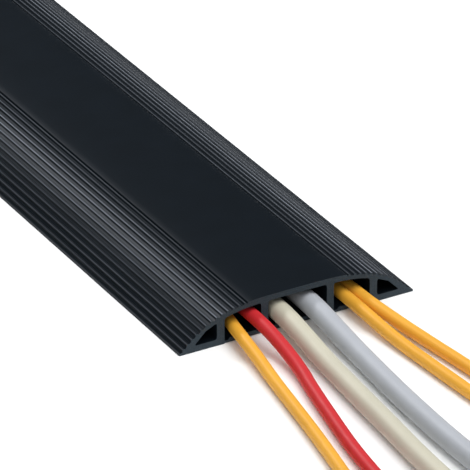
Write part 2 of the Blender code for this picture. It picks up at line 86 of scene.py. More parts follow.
# How the six leads lie. Each route is X and Y from the lead's rear end, through its channel, to its front
# end, and the heights follow from where it is along the strip.
leadLay = {
    "length": 1.5,
    "channel": (0.510, 0.500, 0.470, 0.235, 0.0, -0.235, -0.440, -0.470),
    "mouth": 0.5,
    "channelFloor": 3.1 * mm,  # the top of the lips, and the touching gap
    "floorGap": 0.1 * mm,
    "dropLength": 60 * mm,  # past the mouth, over which a lead comes down to the floor
    "liftRun": 100 * mm,  # inside the near mouth, over which a lead that leaves it higher comes up
    "riseLength": 50 * mm,  # over which it rises to its connector
    "levelStep": 2.6,  # diameters of level cable at the connector
    "pointSpacing": 5 * mm,
    "curveSteps": 60,  # between two points of a route, to measure its length by
    "sides": 6,  # bevel resolution, which gives 16 sides round
}
endHeights = {"patch": 4.0 * mm, "mains": 9.9 * mm, "monitor": 7.9 * mm}
leads = {
    "yellow_lead_left": {
        "diameter": 0.0065, "jacket": "yellow", "ends": "patch", "x": -0.0318,
        "rear": ((-0.0590, 0.6230), (-0.0560, 0.6020), (-0.0490, 0.5720), (-0.0400, 0.5420)),
        "front": ((-0.0323, -0.4880), (-0.0343, -0.5000), (-0.0357, -0.5110), (-0.0374, -0.5250),
                  (-0.0395, -0.5400), (-0.0423, -0.5600), (-0.0446, -0.5750), (-0.0469, -0.5900),
                  (-0.0494, -0.6050), (-0.0530, -0.6250), (-0.0580, -0.6510), (-0.0640, -0.6860),
                  (-0.0690, -0.7230), (-0.0720, -0.7620), (-0.0725, -0.8000), (-0.0708, -0.8360),
                  (-0.0690, -0.8800)),
    },
    "red_lead": {
        "diameter": 0.0070, "jacket": "red", "ends": "patch", "x": -0.0240, "lift": 0.0036,
        "rear": ((-0.0400, 0.6120), (-0.0385, 0.5900), (-0.0345, 0.5620), (-0.0282, 0.5370)),
        "front": ((-0.0240, -0.4900), (-0.0240, -0.5050), (-0.0239, -0.5200), (-0.0241, -0.5300),
                  (-0.0247, -0.5400), (-0.0260, -0.5500), (-0.0282, -0.5600), (-0.0314, -0.5750),
                  (-0.0344, -0.5900), (-0.0374, -0.6050), (-0.0402, -0.6210), (-0.0436, -0.6480),
                  (-0.0465, -0.6830), (-0.0478, -0.7220), (-0.0470, -0.7620), (-0.0450, -0.8020),
                  (-0.0434, -0.8460), (-0.0428, -0.8950)),
    },
    "ivory_lead": {
        "diameter": 0.0105, "jacket": "ivory", "ends": "mains", "x": -0.0089,
        "rear": ((-0.0150, 0.6260), (-0.0147, 0.6020), (-0.0135, 0.5720), (-0.0113, 0.5420)),
        "front": ((-0.0089, -0.4900), (-0.0092, -0.5040), (-0.0098, -0.5150), (-0.0105, -0.5250),
                  (-0.0113, -0.5360), (-0.0121, -0.5480), (-0.0129, -0.5600), (-0.0140, -0.5750),
                  (-0.0151, -0.5900), (-0.0161, -0.6050), (-0.0172, -0.6200), (-0.0186, -0.6380),
                  (-0.0199, -0.6680), (-0.0203, -0.7060), (-0.0190, -0.7460), (-0.0168, -0.7860),
                  (-0.0152, -0.8280), (-0.0146, -0.8850)),
    },
    "grey_lead": {
        "diameter": 0.0108, "jacket": "grey", "ends": "monitor", "x": 0.0077,
        "rear": ((0.0195, 0.6180), (0.0190, 0.5960), (0.0160, 0.5680), (0.0105, 0.5400)),
        "front": ((0.0077, -0.4900), (0.0074, -0.5030), (0.0068, -0.5150), (0.0062, -0.5270),
                  (0.0056, -0.5400), (0.0051, -0.5510), (0.0044, -0.5620), (0.0034, -0.5750),
                  (0.0025, -0.5900), (0.0018, -0.6050), (0.0013, -0.6200), (0.0010, -0.6380),
                  (0.0013, -0.6560), (0.0030, -0.6840), (0.0075, -0.7180), (0.0135, -0.7540),
                  (0.0190, -0.7900), (0.0226, -0.8340), (0.0240, -0.8900)),
    },
    "yellow_lead_middle": {
        "diameter": 0.0065, "jacket": "yellow", "ends": "patch", "x": 0.0278,
        "rear": ((0.0460, 0.6260), (0.0452, 0.6040), (0.0420, 0.5740), (0.0352, 0.5430)),
        "front": ((0.0278, -0.4900), (0.0279, -0.5020), (0.0281, -0.5130), (0.0285, -0.5260),
                  (0.0293, -0.5400), (0.0301, -0.5500), (0.0310, -0.5610), (0.0320, -0.5750),
                  (0.0331, -0.5900), (0.0344, -0.6060), (0.0362, -0.6260), (0.0400, -0.6580),
                  (0.0440, -0.6940), (0.0472, -0.7340), (0.0490, -0.7740), (0.0500, -0.8160),
                  (0.0505, -0.8800)),
    },
    "yellow_lead_right": {
        "diameter": 0.0065, "jacket": "yellow", "ends": "patch", "x": 0.0347,
        "rear": ((0.0625, 0.6150), (0.0605, 0.5940), (0.0540, 0.5670), (0.0432, 0.5400)),
        "front": ((0.0347, -0.4880), (0.0348, -0.5000), (0.0355, -0.5110), (0.0369, -0.5210),
                  (0.0386, -0.5310), (0.0404, -0.5410), (0.0421, -0.5510), (0.0436, -0.5620),
                  (0.0452, -0.5750), (0.0469, -0.5900), (0.0494, -0.6090), (0.0540, -0.6360),
                  (0.0602, -0.6700), (0.0660, -0.7060), (0.0706, -0.7440), (0.0736, -0.7840),
                  (0.0750, -0.8260), (0.0755, -0.8900)),
    },
}


# From 0 to 1 with a level start and end.
def ease(share):
    share = min(max(share, 0.0), 1.0)
    return share * share * (3 - 2 * share)


# A smooth curve through the route's points, as points a fixed distance apart with their distance
# from the rear end.
def smoothRoute(route, length, spacing):
    knots = [Vector((x, y, 0)) for x, y in route]
    chords = [b - a for a, b in zip(knots, knots[1:])]
    ways = [chords[0].normalized()]
    for before, after in zip(chords, chords[1:]):
        ways.append((before.normalized() * after.length + after.normalized() * before.length)
                    / (before.length + after.length))
    ways.append(chords[-1].normalized())
    dense = []
    for k, chord in enumerate(chords):
        reach = chord.length / 3
        leaving = knots[k] + ways[k] * reach
        arriving = knots[k + 1] - ways[k + 1] * reach
        dense += interpolate_bezier(knots[k], leaving, arriving, knots[k + 1], leadLay["curveSteps"])[:-1]
    dense.append(knots[-1])
    points, mark, run = [], 0.0, 0.0
    count = round(length / spacing)
    for a, b in zip(dense, dense[1:]):
        step = (b - a).length
        while len(points) <= count and mark <= run + step:
            points.append((a.lerp(b, (mark - run) / step), mark))
            mark = len(points) * length / count
        run += step
    return points


def leadRoute(lead):
    return lead["rear"] + tuple((lead["x"], y) for y in leadLay["channel"]) + lead["front"]


# The lead's centre line in space: in its channel, down to the floor outside, and up to its connectors.
def leadLine(lead):
    radius = lead["diameter"] / 2
    inChannel = leadLay["channelFloor"] + radius
    onFloor = leadLay["floorGap"] + radius
    atEnd = endHeights[lead["ends"]]
    level = leadLay["levelStep"] * lead["diameter"]
    line = []
    for spot, mark in smoothRoute(leadRoute(lead), leadLay["length"], leadLay["pointSpacing"]):
        out = ease((abs(spot.y) - leadLay["mouth"]) / leadLay["dropLength"])
        raised = inChannel + lead.get("lift", 0) * ease(1 - (spot.y + leadLay["mouth"]) / leadLay["liftRun"])
        toEnd = min(mark, leadLay["length"] - mark)
        end = ease(1 - (toEnd - level) / leadLay["riseLength"])
        spot.z = raised + (onFloor - raised) * out + (atEnd - onFloor) * end
        line.append(spot)
    return line


# Where a lead's connector starts, just past its end, and its turn from +Y.
def endPlace(lead, end):
    step = leadLay["levelStep"] * lead["diameter"]
    spots = [spot for spot, mark in smoothRoute(leadRoute(lead), leadLay["length"], step)]
    last, before = (spots[-1], spots[-2]) if end == "front" else (spots[0], spots[1])
    way = (last - before).normalized()
    spot = last + way * touching
    spot.z = endHeights[lead["ends"]]
    return Matrix.Translation(spot) @ Matrix.Rotation(math.atan2(-way.x, way.y), 4, "Z")


# In object mode, selects this piece alone and makes it the active one.
def pick(piece):
    deselectAll()
    piece.select_set(True)
    bpy.context.view_layer.objects.active = piece


def deselectAll():
    if bpy.context.mode != "OBJECT":
        bpy.ops.object.mode_set(mode="OBJECT")
    bpy.ops.object.select_all(action="DESELECT")


# Links a curve's object and turns it into a mesh.
def curveToMesh(name, shape):
    piece = bpy.data.objects.new(name, shape)
    bpy.context.scene.collection.objects.link(piece)
    pick(piece)
    bpy.ops.object.convert(target="MESH")
    return bpy.context.object


def makeLead(name, lead, line):
    shape = bpy.data.curves.new(name + "_cable", "CURVE")
    shape.dimensions = "3D"
    shape.bevel_depth = lead["diameter"] / 2
    shape.bevel_resolution = leadLay["sides"]
    shape.use_fill_caps = True
    spline = shape.splines.new("POLY")
    spline.points.add(len(line) - 1)
    for point, spot in zip(spline.points, line):
        point.co = (*spot, 1)
    spline.use_smooth = True
    return curveToMesh(name + "_cable", shape)


# An sRGB hex code as linear red, green and blue, and an alpha of 1.
def hexColour(code):
    parts = [int(code[k:k + 2], 16) / 255 for k in (1, 3, 5)]
    return (*(p / 12.92 if p <= 0.04045 else ((p + 0.055) / 1.055) ** 2.4 for p in parts), 1)


# Adds a node, sets its properties and sockets, and links its inputs.
def addNode(tree, kind, settings=None, links=None):
    node = tree.nodes.new(kind)
    for name, value in (settings or {}).items():
        if isinstance(name, str) and hasattr(node, name):
            setattr(node, name, value)
        else:
            node.inputs[name].default_value = value
    for name, socket in (links or {}).items():
        tree.links.new(socket, node.inputs[name])
    return node


# A material with its colour, roughness and any other constants set on the shader's own sockets.
def newFinish(name, base, roughness, **sockets):
    finish = bpy.data.materials.new(name)
    finish.use_nodes = True
    shader = finish.node_tree.nodes["Principled BSDF"]
    shader.inputs["Base Color"].default_value = hexColour(base)
    shader.inputs["Roughness"].default_value = roughness
    for socket, value in sockets.items():
        shader.inputs[socket.replace("_", " ")].default_value = value
    return finish, finish.node_tree, shader


# Soft PVC, extruded and left matt. The eye gets near black with a cold cast, a fine skin grain, drawn lines
# along its length, and smoother rib tops painted paler, partly for rubbing by shoes and partly as a painted
# highlight.
pvc = {
    "base": "#090e12",
    "blotch": "#0e141a",  # faint cloudiness of the compound
    "cut": "#4a545b",  # the sawn ends, which scatter more light
    "crestRubAndHighlight": "#c3cbd8",  # rib tops rubbed bare and dusty, and a painted highlight along them
    "roughness": 0.41,
    "cutRoughness": 0.70,
    "crestRoughness": 0.25,
    "specular": 0.11,
    "specularTint": "#dbe8fb",
    "grain": 0.45 * mm,  # the real one is near 0.1 mm, drawn coarser so that it shows
    "sawMark": 0.30 * mm,
    "drawLine": 1.1 * mm,
    "drawStretch": 0.004,  # along the strip
    "drawShare": 0.5,  # of the drawn lines in the relief, to the grain's 1
    "blotchSize": 18 * mm,
    "bumpStrength": 0.35,
    "bumpDepth": 0.08 * mm,
}


def softPvc():
    finish, tree, shader = newFinish(
        "softPvcExtruded", pvc["base"], pvc["roughness"], Specular_IOR_Level=pvc["specular"],
        Specular_Tint=hexColour(pvc["specularTint"]))
    place = addNode(tree, "ShaderNodeTexCoord").outputs["Object"]
    blotches = addNode(tree, "ShaderNodeTexNoise", {"Scale": 1 / pvc["blotchSize"], "Detail": 3},
                       {"Vector": place})
    blotched = addNode(tree, "ShaderNodeMix", {"data_type": "RGBA", 6: hexColour(pvc["base"]),
                                               7: hexColour(pvc["blotch"])}, {0: blotches.outputs["Fac"]})
    grain = addNode(tree, "ShaderNodeTexNoise", {"Scale": 1 / pvc["grain"], "Detail": 2}, {"Vector": place})
    stretched = addNode(tree, "ShaderNodeMapping", {"Scale": (1, pvc["drawStretch"], 1)}, {"Vector": place})
    lines = addNode(tree, "ShaderNodeTexNoise", {"Scale": 1 / pvc["drawLine"], "Detail": 2},
                    {"Vector": stretched.outputs["Vector"]})
    # Paler, smoother rib tops: rubbing, and a painted highlight along them.
    crestRubAndHighlight = addNode(tree, "ShaderNodeAttribute", {"attribute_name": "crestRubAndHighlight"})
    rubAndHighlight = addNode(tree, "ShaderNodeMath", {"operation": "MULTIPLY"},
                     {0: crestRubAndHighlight.outputs["Fac"], 1: lines.outputs["Fac"]})
    coloured = addNode(tree, "ShaderNodeMix", {"data_type": "RGBA", 7: hexColour(pvc["crestRubAndHighlight"])},
                       {0: rubAndHighlight.outputs["Value"], 6: blotched.outputs[2]})
    tree.links.new(coloured.outputs[2], shader.inputs["Base Color"])
    rough = addNode(tree, "ShaderNodeMapRange", {"To Min": pvc["roughness"], "To Max": pvc["crestRoughness"]},
                    {"Value": rubAndHighlight.outputs["Value"]})
    tree.links.new(rough.outputs["Result"], shader.inputs["Roughness"])
    heights = addNode(tree, "ShaderNodeMath", {"operation": "MULTIPLY_ADD", 1: pvc["drawShare"]},
                      {0: lines.outputs["Fac"], 2: grain.outputs["Fac"]})
    addBump(tree, shader, heights.outputs["Value"], pvc["bumpStrength"], pvc["bumpDepth"])
    return finish


# The same PVC where a saw went through it: paler, rougher, with faint marks.
def sawnPvc():
    finish, tree, shader = newFinish(
        "softPvcSawn", pvc["cut"], pvc["cutRoughness"], Specular_IOR_Level=pvc["specular"],
        Specular_Tint=hexColour(pvc["specularTint"]))
    place = addNode(tree, "ShaderNodeTexCoord").outputs["Object"]
    marks = addNode(tree, "ShaderNodeTexNoise", {"Scale": 1 / pvc["sawMark"], "Detail": 3}, {"Vector": place})
    tone = addNode(tree, "ShaderNodeMix", {"data_type": "RGBA", 6: hexColour(pvc["blotch"]),
                                           7: hexColour(pvc["cut"])}, {0: marks.outputs["Fac"]})
    tree.links.new(tone.outputs[2], shader.inputs["Base Color"])
    addBump(tree, shader, marks.outputs["Fac"], pvc["bumpStrength"], pvc["bumpDepth"])
    return finish


def addBump(tree, shader, height, strength, depth):
    bump = addNode(tree, "ShaderNodeBump", {"Strength": strength, "Distance": depth}, {"Height": height})
    tree.links.new(bump.outputs["Normal"], shader.inputs["Normal"])


blackPvc = softPvc()
cutPvc = sawnPvc()


# The strip is an arched extrusion with a smooth tread band, ribbed flanks and sawn ends. Its shape comes
# from the CAD node; here its rib tops are rounded and its ends are made whole.
strip = {
    "bandShare": 0.42,  # of the half width, the smooth tread band
    "margin": 1.0 * mm,  # plain skin beside the band and at the outer edge
    "edgeHeight": 1.0 * mm,
    "archPower": 3.8,
    "longEdge": 0.5,  # m, the least length of an edge that runs down the strip
    "endTurn": 0.7,  # the least share of Y in the normal of a face on a sawn end
    "smoothTurn": 32,  # degrees
    "crestDepth": 0.12 * mm,  # below the arch, where a rib's pale-painted top ends
    "crestAngle": 20,  # degrees, the least turn over a rib's top edge
    "crestRound": 0.15 * mm,
    "skinDepth": 1.3 * mm,  # below the arch, deeper than any rib
    "wearAndHighlightAt": 0.64,  # of the half width, where the rib tops are painted palest: mostly a painted highlight, with some rubbing
    "wearAndHighlightSpread": 0.105,
    "wearAndHighlightLeast": 0.22,
    "valleyWearAndHighlight": 0.02,
}


def openEdit(piece):
    pick(piece)
    bpy.ops.object.mode_set(mode="EDIT")
    bpy.ops.mesh.select_mode(type="FACE")


# In edit mode, selects the faces, edges or vertices that pass the test.
def choose(piece, test, kind="FACE"):
    bpy.ops.mesh.select_mode(type=kind)
    bpy.ops.mesh.select_all(action="DESELECT")
    grid = bmesh.from_edit_mesh(piece.data)
    for item in {"FACE": grid.faces, "EDGE": grid.edges, "VERT": grid.verts}[kind]:
        if test(item):
            item.select_set(True)
    grid.select_flush_mode()
    bmesh.update_edit_mesh(piece.data)


def closeEdit(turn=smoothTurn):
    bpy.ops.object.mode_set(mode="OBJECT")
    bpy.ops.object.shade_smooth_by_angle(angle=math.radians(turn))


# A copy of a CAD node's mesh, its loose triangles merged and its flat sides made whole.
def copyOfNode(node, name):
    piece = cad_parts[node].copy()
    piece.data = piece.data.copy()
    piece.parent = None
    piece.name = name
    for key in list(piece.keys()):
        del piece[key]
    bpy.context.scene.collection.objects.link(piece)
    openEdit(piece)
    bpy.ops.mesh.select_all(action="SELECT")
    bpy.ops.mesh.remove_doubles(threshold=mergeReach)
    bpy.ops.mesh.dissolve_limited(angle_limit=math.radians(flatTurn))
    return piece


def makeStrip():
    low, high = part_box("ramp_strip")
    piece = copyOfNode("ramp_strip", "strip_extrusion")
    choose(piece, isSawn)
    bpy.ops.mesh.delete(type="FACE")
    choose(piece, lambda e: isLong(e) and onTop(e, high) and turnOver(e) > strip["crestAngle"], "EDGE")
    bpy.ops.mesh.bevel(offset=strip["crestRound"], segments=2)
    for end in (low.y, high.y):
        choose(piece, lambda e: all(abs(v.co.y - end) < touching for v in e.verts), "EDGE")
        bpy.ops.mesh.fill()
    bpy.ops.mesh.select_all(action="SELECT")
    bpy.ops.mesh.normals_make_consistent(inside=False)
    closeEdit(strip["smoothTurn"])
    markCrests(piece, high)
    return piece


# Height of the strip's outer surface at x.
def arch(x, high):
    edge = strip["edgeHeight"]
    return edge + (high.z - edge) * (1 - (abs(x) / high.x) ** strip["archPower"])


# This attribute says how pale the skin is painted, partly for rubbing and partly as a painted highlight: 1 on
# the rib tops mid-flank where the painted highlight is brightest, a little in the valleys, 0 on the tread
# band and inside.
def markCrests(piece, high):
    crestRubAndHighlight = piece.data.attributes.new("crestRubAndHighlight", "FLOAT", "POINT")
    for vertex, mark in zip(piece.data.vertices, crestRubAndHighlight.data):
        x, z = vertex.co.x, vertex.co.z
        share = abs(x) / high.x
        power = strip["archPower"]
        slope = (high.z - strip["edgeHeight"]) * power / high.x * share ** (power - 1)
        sunk = (arch(x, high) - z) / math.hypot(slope, 1)
        # Strongest mid-flank, where the back light would catch the rib tops: this wear is rubbing and a
        # painted highlight together.
        middle = math.exp(-((share - strip["wearAndHighlightAt"]) / strip["wearAndHighlightSpread"]) ** 2)
        wear = strip["wearAndHighlightLeast"] + (1 - strip["wearAndHighlightLeast"]) * middle
        bandEdge = strip["bandShare"] * high.x
        onFlank = bandEdge + strip["margin"] < abs(x) < high.x - strip["margin"]
        if onFlank and sunk < strip["skinDepth"]:
            mark.value = wear * max(strip["valleyWearAndHighlight"], 1 - sunk / strip["crestDepth"])
        else:
            mark.value = 0.0


def isSawn(face):
    return abs(face.normal.y) > strip["endTurn"]


def isLong(edge):
    return abs(edge.verts[0].co.y - edge.verts[1].co.y) > strip["longEdge"]


def onTop(edge, high):
    spot = edge.verts[0].co
    onFlank = strip["bandShare"] * high.x < abs(spot.x) < high.x - strip["margin"]
    return onFlank and spot.z > strip["margin"]


# Degrees by which the surface turns over an edge, more than 0 where it stands out.
def turnOver(edge):
    return math.degrees(edge.calc_face_angle_signed(0)) if len(edge.link_faces) == 2 else 0


# The extruded finish all over, and the sawn one on the two ends.
def finishExtrusion(piece):
    piece.data.materials.clear()
    piece.data.materials.append(blackPvc)
    piece.data.materials.append(cutPvc)
    for face in piece.data.polygons:
        face.material_index = 1 if isSawn(face) else 0


stripPiece = makeStrip()
finishExtrusion(stripPiece)
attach(stripPiece, "ramp")
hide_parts("ramp_strip")
print("strip made:", len(stripPiece.data.polygons), "faces")

# Two lips close each channel's base. They are one material with the strip, and have extra cuts at their thin
# roots, where the real ones bend.
lips = {
    "bendCuts": (0.2, 0.5, 0.8, 1.1, 1.4),  # mm from the wall
    "bendEnd": 1.7 * mm,  # from the wall, where the lip is stiff again
    "hingeHeight": 0.4 * mm,
    "smoothTurn": 40,  # degrees
}


# The lip reaches from its wall towards the slit: way is 1 for a left lip and -1 for a right one.
def makeLip(node, way):
    low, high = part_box(node)
    foot = low.x if way > 0 else high.x
    wall = foot - way * touching
    piece = copyOfNode(node, node + "_flap")
    choose(piece, lambda v: abs(v.co.x - foot) < mergeReach, "VERT")
    bpy.ops.transform.translate(value=(wall - foot, 0, 0))
    for cut in lips["bendCuts"]:
        bpy.ops.mesh.select_all(action="SELECT")
        bpy.ops.mesh.bisect(plane_co=(wall + way * cut * mm, 0, 0), plane_no=(1, 0, 0))
    closeEdit(lips["smoothTurn"])
    finishExtrusion(piece)
    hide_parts(node)
    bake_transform(piece)


for channel in ("left", "middle", "right"):
    makeLip(channel + "_channel_left_lip", 1)
    makeLip(channel + "_channel_right_lip", -1)
print("lips made")

# A plain pale floor, matt as painted board with a faint mottle, in a soft studio light.
stage = {
    "floorSize": 60,
    "floor": "#fbfbfa",
    "floorMottle": "#f8f8f8",
    "floorRoughness": 0.9,
    "floorSpecular": 0.1,
    "mottleScale": 3.0,  # to the metre
    "world": "#aab4bf",
    "worldStrength": 0.28,
}
# Where each light stands: its azimuth from +Y towards +X, its elevation and its distance. A sun has an
# apparent width in degrees and lights the whole floor evenly; the softbox has a size in metres.
lights = {
    "keySun": {"azimuth": 125, "elevation": 64, "distance": 3, "width": 50, "power": 2.5},
    "frontFillSun": {"azimuth": 215, "elevation": 45, "distance": 3, "width": 60, "power": 1.15},
    "backSoftbox": {"azimuth": -2, "elevation": 40, "distance": 2.2, "size": 0.35, "power": 15},
}
lightTarget = Vector((0, -0.45, 0))


def makeFloor():
    deselectAll()
    bpy.ops.mesh.primitive_plane_add(size=stage["floorSize"])
    floor = bpy.context.object
    floor.name = "floor"
    finish, tree, shader = newFinish("paleFloor", stage["floor"], stage["floorRoughness"],
                                     Specular_IOR_Level=stage["floorSpecular"])
    place = addNode(tree, "ShaderNodeTexCoord").outputs["Object"]
    mottle = addNode(tree, "ShaderNodeTexNoise", {"Scale": stage["mottleScale"]}, {"Vector": place})
    tone = addNode(tree, "ShaderNodeMix", {"data_type": "RGBA", 6: hexColour(stage["floor"]),
                                           7: hexColour(stage["floorMottle"])}, {0: mottle.outputs["Fac"]})
    tree.links.new(tone.outputs[2], shader.inputs["Base Color"])
    floor.data.materials.append(finish)


def makeLights():
    world = bpy.data.worlds.new("studio")
    bpy.context.scene.world = world
    world.use_nodes = True
    sky = world.node_tree.nodes["Background"]
    sky.inputs["Color"].default_value = hexColour(stage["world"])
    sky.inputs["Strength"].default_value = stage["worldStrength"]
    for name, light in lights.items():
        turn = math.radians(light["azimuth"])
        rise = math.radians(light["elevation"])
        way = Vector((math.sin(turn) * math.cos(rise), math.cos(turn) * math.cos(rise), math.sin(rise)))
        isSun = "width" in light
        bpy.ops.object.light_add(
            type="SUN" if isSun else "AREA", location=lightTarget + way * light["distance"])
        lamp = bpy.context.object
        lamp.name = name
        lamp.rotation_euler = way.to_track_quat("Z", "Y").to_euler()
        lamp.data.energy = light["power"]
        if isSun:
            lamp.data.angle = math.radians(light["width"])
        else:
            lamp.data.size = light["size"]
    bpy.context.scene.view_settings.view_transform = "Standard"


makeFloor()
makeLights()
print("stage set")

# Flexible PVC jacket, extruded. The eye gets an even satin colour with slight mottling and drawn lines. The
# boots and connectors are the same PVC, injection moulded, with a fine pebble instead of the lines.
jackets = {
    "yellow": "#f2af38",
    "red": "#cf2a30",
    "ivory": "#cfcab6",
    "grey": "#b6b9bf",
}
jacketLook = {
    "roughness": 0.5,
    "specular": 0.4,
    "mottle": 14 * mm,
    "mottleShade": 0.86,
    "drawLine": 1.0 * mm,
    "drawStretch": 0.02,  # along the strip
    "pebble": 0.35 * mm,  # the grain of the moulded boots and connectors
    "smoother": 0.05,  # how far the roughness goes below its middle value
    "rougher": 0.08,
    "bumpStrength": 0.3,
    "bumpDepth": 0.05 * mm,
}


def jacketPvc(name, moulded=False):
    kind = "PvcMoulded" if moulded else "PvcJacket"
    finish, tree, shader = newFinish(name + kind, jackets[name], jacketLook["roughness"],
                                     Specular_IOR_Level=jacketLook["specular"])
    place = addNode(tree, "ShaderNodeTexCoord").outputs["Object"]
    mottle = addNode(tree, "ShaderNodeTexNoise", {"Scale": 1 / jacketLook["mottle"], "Detail": 4},
                     {"Vector": place})
    colour = hexColour(jackets[name])
    shade = (*(part * jacketLook["mottleShade"] for part in colour[:3]), 1)
    tone = addNode(tree, "ShaderNodeMix", {"data_type": "RGBA", 6: shade, 7: colour},
                   {0: mottle.outputs["Fac"]})
    tree.links.new(tone.outputs[2], shader.inputs["Base Color"])
    if moulded:
        grain = addNode(tree, "ShaderNodeTexNoise", {"Scale": 1 / jacketLook["pebble"], "Detail": 2},
                        {"Vector": place})
    else:
        stretched = addNode(tree, "ShaderNodeMapping", {"Scale": (1, jacketLook["drawStretch"], 1)},
                            {"Vector": place})
        grain = addNode(tree, "ShaderNodeTexNoise", {"Scale": 1 / jacketLook["drawLine"], "Detail": 1},
                        {"Vector": stretched.outputs["Vector"]})
    rough = addNode(tree, "ShaderNodeMapRange",
                    {"To Min": jacketLook["roughness"] - jacketLook["smoother"],
                     "To Max": jacketLook["roughness"] + jacketLook["rougher"]},
                    {"Value": grain.outputs["Fac"]})
    tree.links.new(rough.outputs["Result"], shader.inputs["Roughness"])
    addBump(tree, shader, grain.outputs["Fac"], jacketLook["bumpStrength"], jacketLook["bumpDepth"])
    return finish


# Injection-moulded polycarbonate. The eye looks through it at the cores and contacts, past a faint flow haze.
plugPlastic = {
    "tint": "#eef2f3",
    "ior": 1.58,
    "transmission": 0.9,
    "roughness": (0.08, 0.05, 0.16),  # of the shader, and the least and most with the haze
    "haze": 4 * mm,
}


def clearPolycarbonate():
    rough, clearest, haziest = plugPlastic["roughness"]
    finish, tree, shader = newFinish("clearPolycarbonate", plugPlastic["tint"], rough, IOR=plugPlastic["ior"],
                                     Transmission_Weight=plugPlastic["transmission"])
    place = addNode(tree, "ShaderNodeTexCoord").outputs["Object"]
    haze = addNode(tree, "ShaderNodeTexNoise", {"Scale": 1 / plugPlastic["haze"], "Detail": 3},
                   {"Vector": place})
    rough = addNode(tree, "ShaderNodeMapRange", {"To Min": clearest, "To Max": haziest},
                    {"Value": haze.outputs["Fac"]})
    tree.links.new(rough.outputs["Result"], shader.inputs["Roughness"])
    return finish


# Electroplated nickel on the shells and screws, and gold on the contacts. The eye gets a tinted metal whose
# shine varies with fine wear.
plating = {
    "nickel": ("#c8c4bb", 0.24),  # colour and roughness
    "gold": ("#e3b35a", 0.22),
    "wear": 0.8 * mm,
    "smoother": 0.06,
    "rougher": 0.12,
}


def platedMetal(name):
    colour, roughness = plating[name]
    finish, tree, shader = newFinish(name + "Plate", colour, roughness, Metallic=1.0)
    place = addNode(tree, "ShaderNodeTexCoord").outputs["Object"]
    wear = addNode(tree, "ShaderNodeTexNoise", {"Scale": 1 / plating["wear"], "Detail": 4},
                   {"Vector": place})
    rough = addNode(tree, "ShaderNodeMapRange",
                    {"To Min": roughness - plating["smoother"], "To Max": roughness + plating["rougher"]},
                    {"Value": wear.outputs["Fac"]})
    tree.links.new(rough.outputs["Result"], shader.inputs["Roughness"])
    return finish


# Hard plastic, moulded as the monitor connector's insulator and extruded on the cores. The eye gets one flat
# colour, with a fine grain that takes the shine off.
hardPlastic = {
    "insulator": "#2c4a86",
    "cores": ("#e8862c", "#2f8f4e", "#2f5fb0", "#7b4a2a"),  # one for each pair of cores
    "roughness": 0.45,
    "grain": 0.25 * mm,
    "bumpStrength": 0.2,
    "bumpDepth": 0.03 * mm,
}


def mouldedPlastic(name, colour):
    finish, tree, shader = newFinish(name, colour, hardPlastic["roughness"])
    place = addNode(tree, "ShaderNodeTexCoord").outputs["Object"]
    grain = addNode(tree, "ShaderNodeTexNoise", {"Scale": 1 / hardPlastic["grain"], "Detail": 2},
                    {"Vector": place})
    addBump(tree, shader, grain.outputs["Fac"], hardPlastic["bumpStrength"], hardPlastic["bumpDepth"])
    return finish


jacketFinishes = {name: jacketPvc(name) for name in jackets}
mouldedFinishes = {name: jacketPvc(name, moulded=True) for name in jackets}
polycarbonate = clearPolycarbonate()
nickel = platedMetal("nickel")
gold = platedMetal("gold")
insulator = mouldedPlastic("blueInsulator", hardPlastic["insulator"])
cores = [mouldedPlastic("coreInsulation" + str(k), code) for k, code in enumerate(hardPlastic["cores"])]

leadLines = {name: leadLine(lead) for name, lead in leads.items()}
cables = {name: makeLead(name, lead, leadLines[name]) for name, lead in leads.items()}
for name, cable in cables.items():
    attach(cable, "ramp")
    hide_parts(name)
    cable.data.materials.append(jacketFinishes[leads[name]["jacket"]])
print("leads laid")

roundShare = 0.98  # the corners of a round rod's section, as a share of its radius


# Each connector is modelled once, along +Y from the end of a lead, with the lead's centre line at z = 0.
# A loft is a solid with a rounded section that goes through stations of y, width and height.
def loft(name, stations, corner, segments=3):
    y, width, height = stations[0]
    deselectAll()
    bpy.ops.mesh.primitive_plane_add(size=1, rotation=(math.pi / 2, 0, 0))
    piece = bpy.context.object
    piece.name = name
    bpy.ops.object.transform_apply(location=True, rotation=True, scale=True)
    openEdit(piece)
    bpy.ops.mesh.select_all(action="SELECT")
    bpy.ops.transform.resize(value=(width, 1, height), center_override=(0, 0, 0))
    bpy.ops.transform.translate(value=(0, y, 0))
    bpy.ops.mesh.bevel(offset=corner, segments=segments, affect="VERTICES")
    bpy.ops.mesh.select_all(action="SELECT")
    for before, after in zip(stations, stations[1:]):
        bpy.ops.mesh.extrude_region_move(TRANSFORM_OT_translate={"value": (0, after[0] - before[0], 0)})
        bpy.ops.transform.resize(value=(after[1] / before[1], 1, after[2] / before[2]),
                                 center_override=(0, after[0], 0))
    bpy.ops.mesh.select_all(action="SELECT")
    bpy.ops.mesh.normals_make_consistent(inside=False)
    closeEdit()
    return piece


# A round rod along +Y with a slightly pointed tip.
def rod(name, radius, start, end):
    wide, tip = 2 * radius, 1.3 * radius
    stations = [(start, wide, wide), (end - radius / 2, wide, wide), (end, tip, tip)]
    return loft(name, stations, roundShare * radius, 4)


